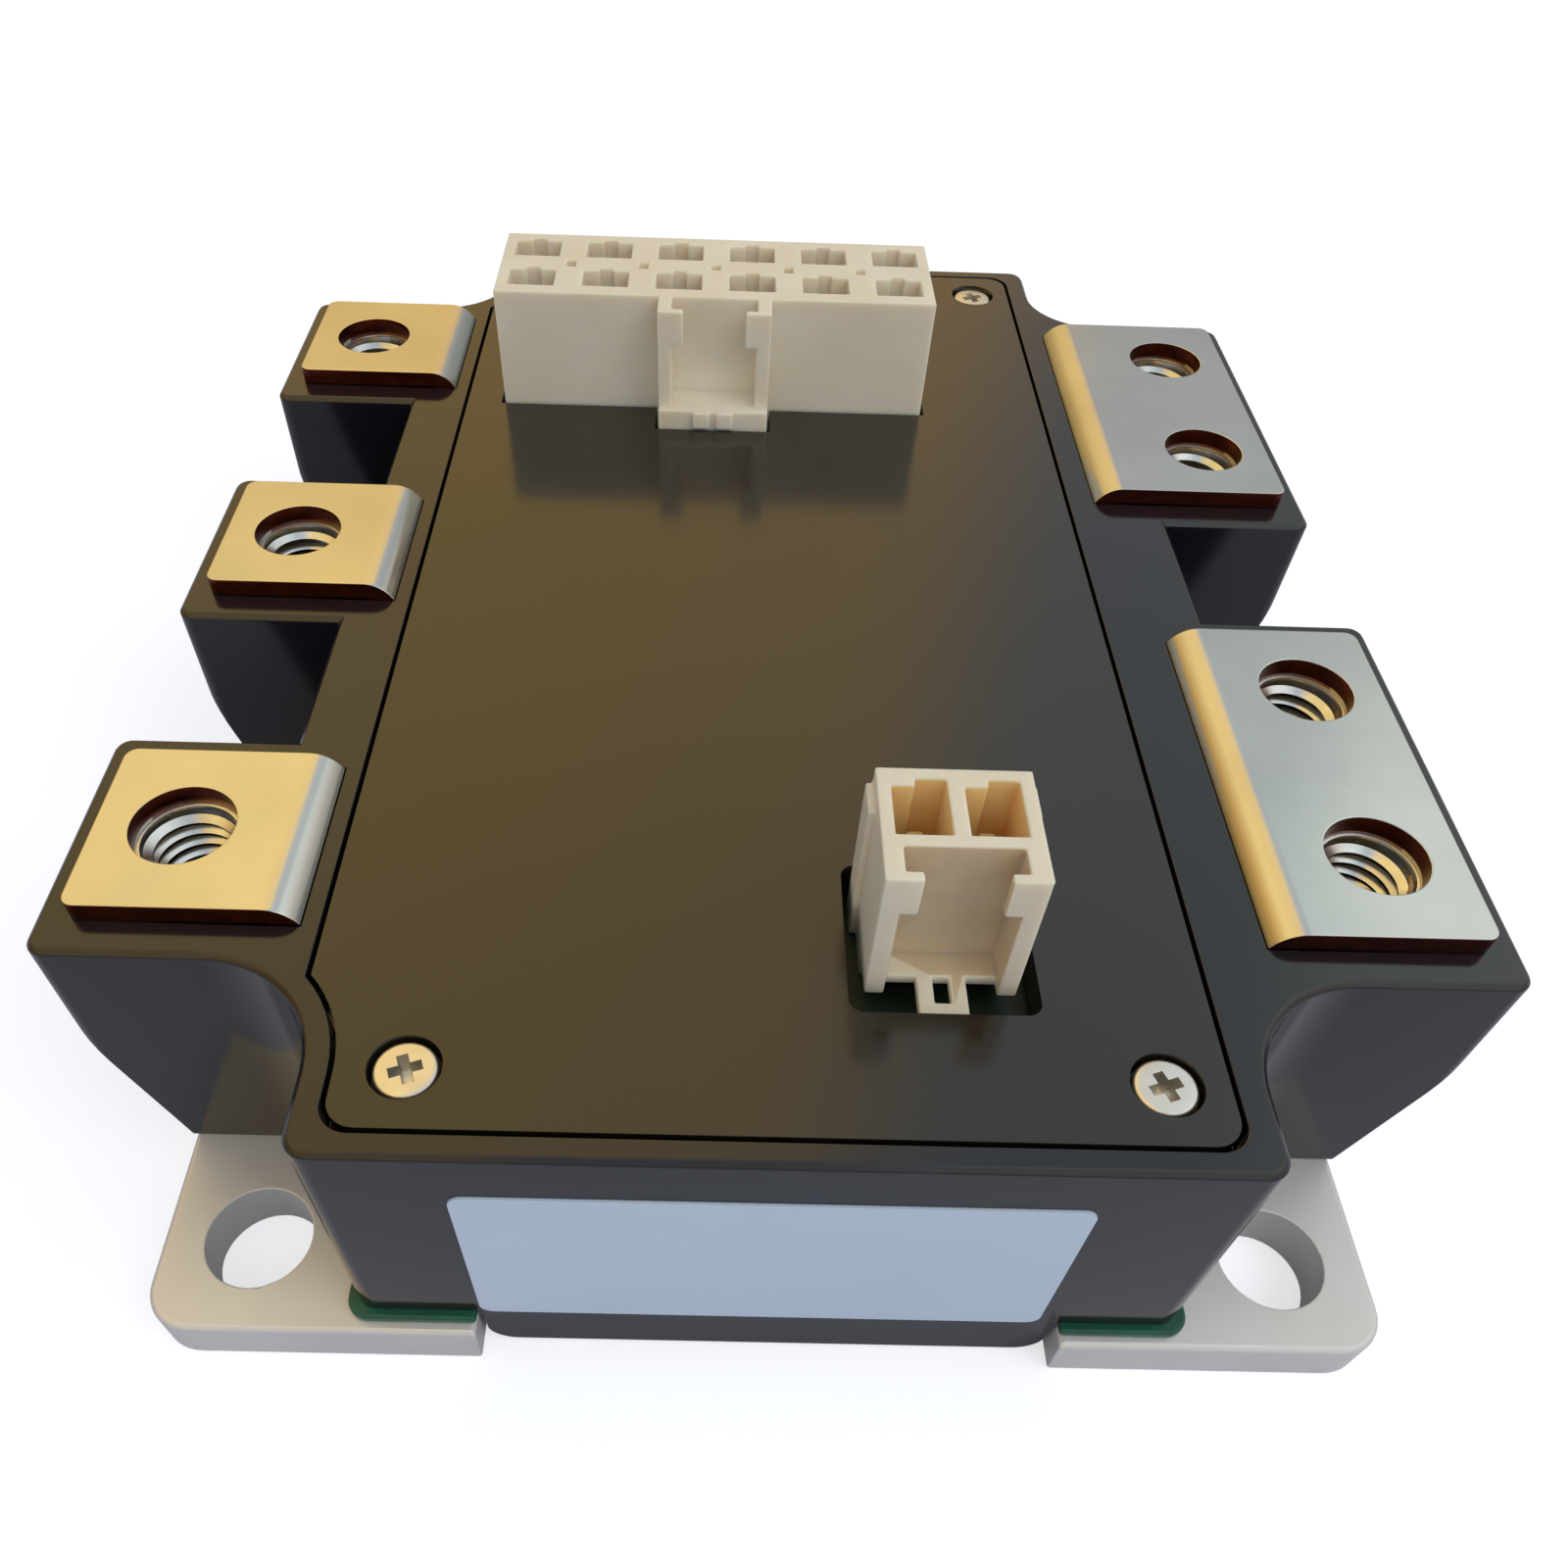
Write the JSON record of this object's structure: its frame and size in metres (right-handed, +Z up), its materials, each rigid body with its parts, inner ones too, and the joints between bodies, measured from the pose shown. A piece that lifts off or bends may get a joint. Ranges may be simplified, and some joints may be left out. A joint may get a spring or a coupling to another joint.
{
  "type": "power mosfet module",
  "caption": "Flat power semiconductor module: metal baseplate, black moulded case with screw terminal blocks along both sides, flat lid and two upright plug headers.",
  "frame": {"origin": "middle of the baseplate's underside, which is the bottom of the whole part", "axes": "+X towards the DC terminals, +Y along the module towards the twelve-way header, +Z up"},
  "size_m": [0.091, 0.11, 0.036],
  "materials": {
    "plated_copper": "satin nickel plate",
    "terminal_plate": "bright nickel plate",
    "case_plastic": "glossy moulded black",
    "header_plastic": "moulded ivory",
    "steel_fastener": "bright zinc plate",
    "pin_metal": "tinned",
    "board_laminate": "green solder resist",
    "sealant": "cured bead",
    "gel": "clear soft gel",
    "ceramic_tile": "fired white",
    "bare_copper": "bonded copper",
    "chip": "polished semiconductor",
    "bond_wire": "drawn",
    "solder": "dull solder",
    "label_film": "bare printed-film stock"
  },
  "bodies": {
    "root": {"base_seal": "sealant", "base_solder": "solder", "baseplate": "plated_copper", "bond_wires_u": "bond_wire", "bond_wires_v": "bond_wire", "bond_wires_w": "bond_wire", "case_frame": "case_plastic", "control_board": "board_laminate", "copper_tracks_u": "bare_copper", "copper_tracks_v": "bare_copper", "copper_tracks_w": "bare_copper", "label": "label_film", "lead_pins": "pin_metal", "lead_wires_u": "bond_wire", "lead_wires_v": "bond_wire", "lead_wires_w": "bond_wire", "lid": "case_plastic", "lid_screw_1": "steel_fastener", "lid_screw_2": "steel_fastener", "lid_screw_3": "steel_fastener", "lid_screw_4": "steel_fastener", "mosfet_chips_u": "chip", "mosfet_chips_v": "chip", "mosfet_chips_w": "chip", "nut_n_1": "steel_fastener", "nut_n_2": "steel_fastener", "nut_p_1": "steel_fastener", "nut_p_2": "steel_fastener", "nut_u": "steel_fastener", "nut_v": "steel_fastener", "nut_w": "steel_fastener", "sensor_header": "header_plastic", "sensor_pins": "pin_metal", "signal_header": "header_plastic", "signal_pins": "pin_metal", "silicone_gel": "gel", "substrate_u": "ceramic_tile", "substrate_v": "ceramic_tile", "substrate_w": "ceramic_tile", "terminal_n": "terminal_plate", "terminal_p": "terminal_plate", "terminal_u": "terminal_plate", "terminal_v": "terminal_plate", "terminal_w": "terminal_plate", "thermistor": "chip"}
  },
  "joints": []
}
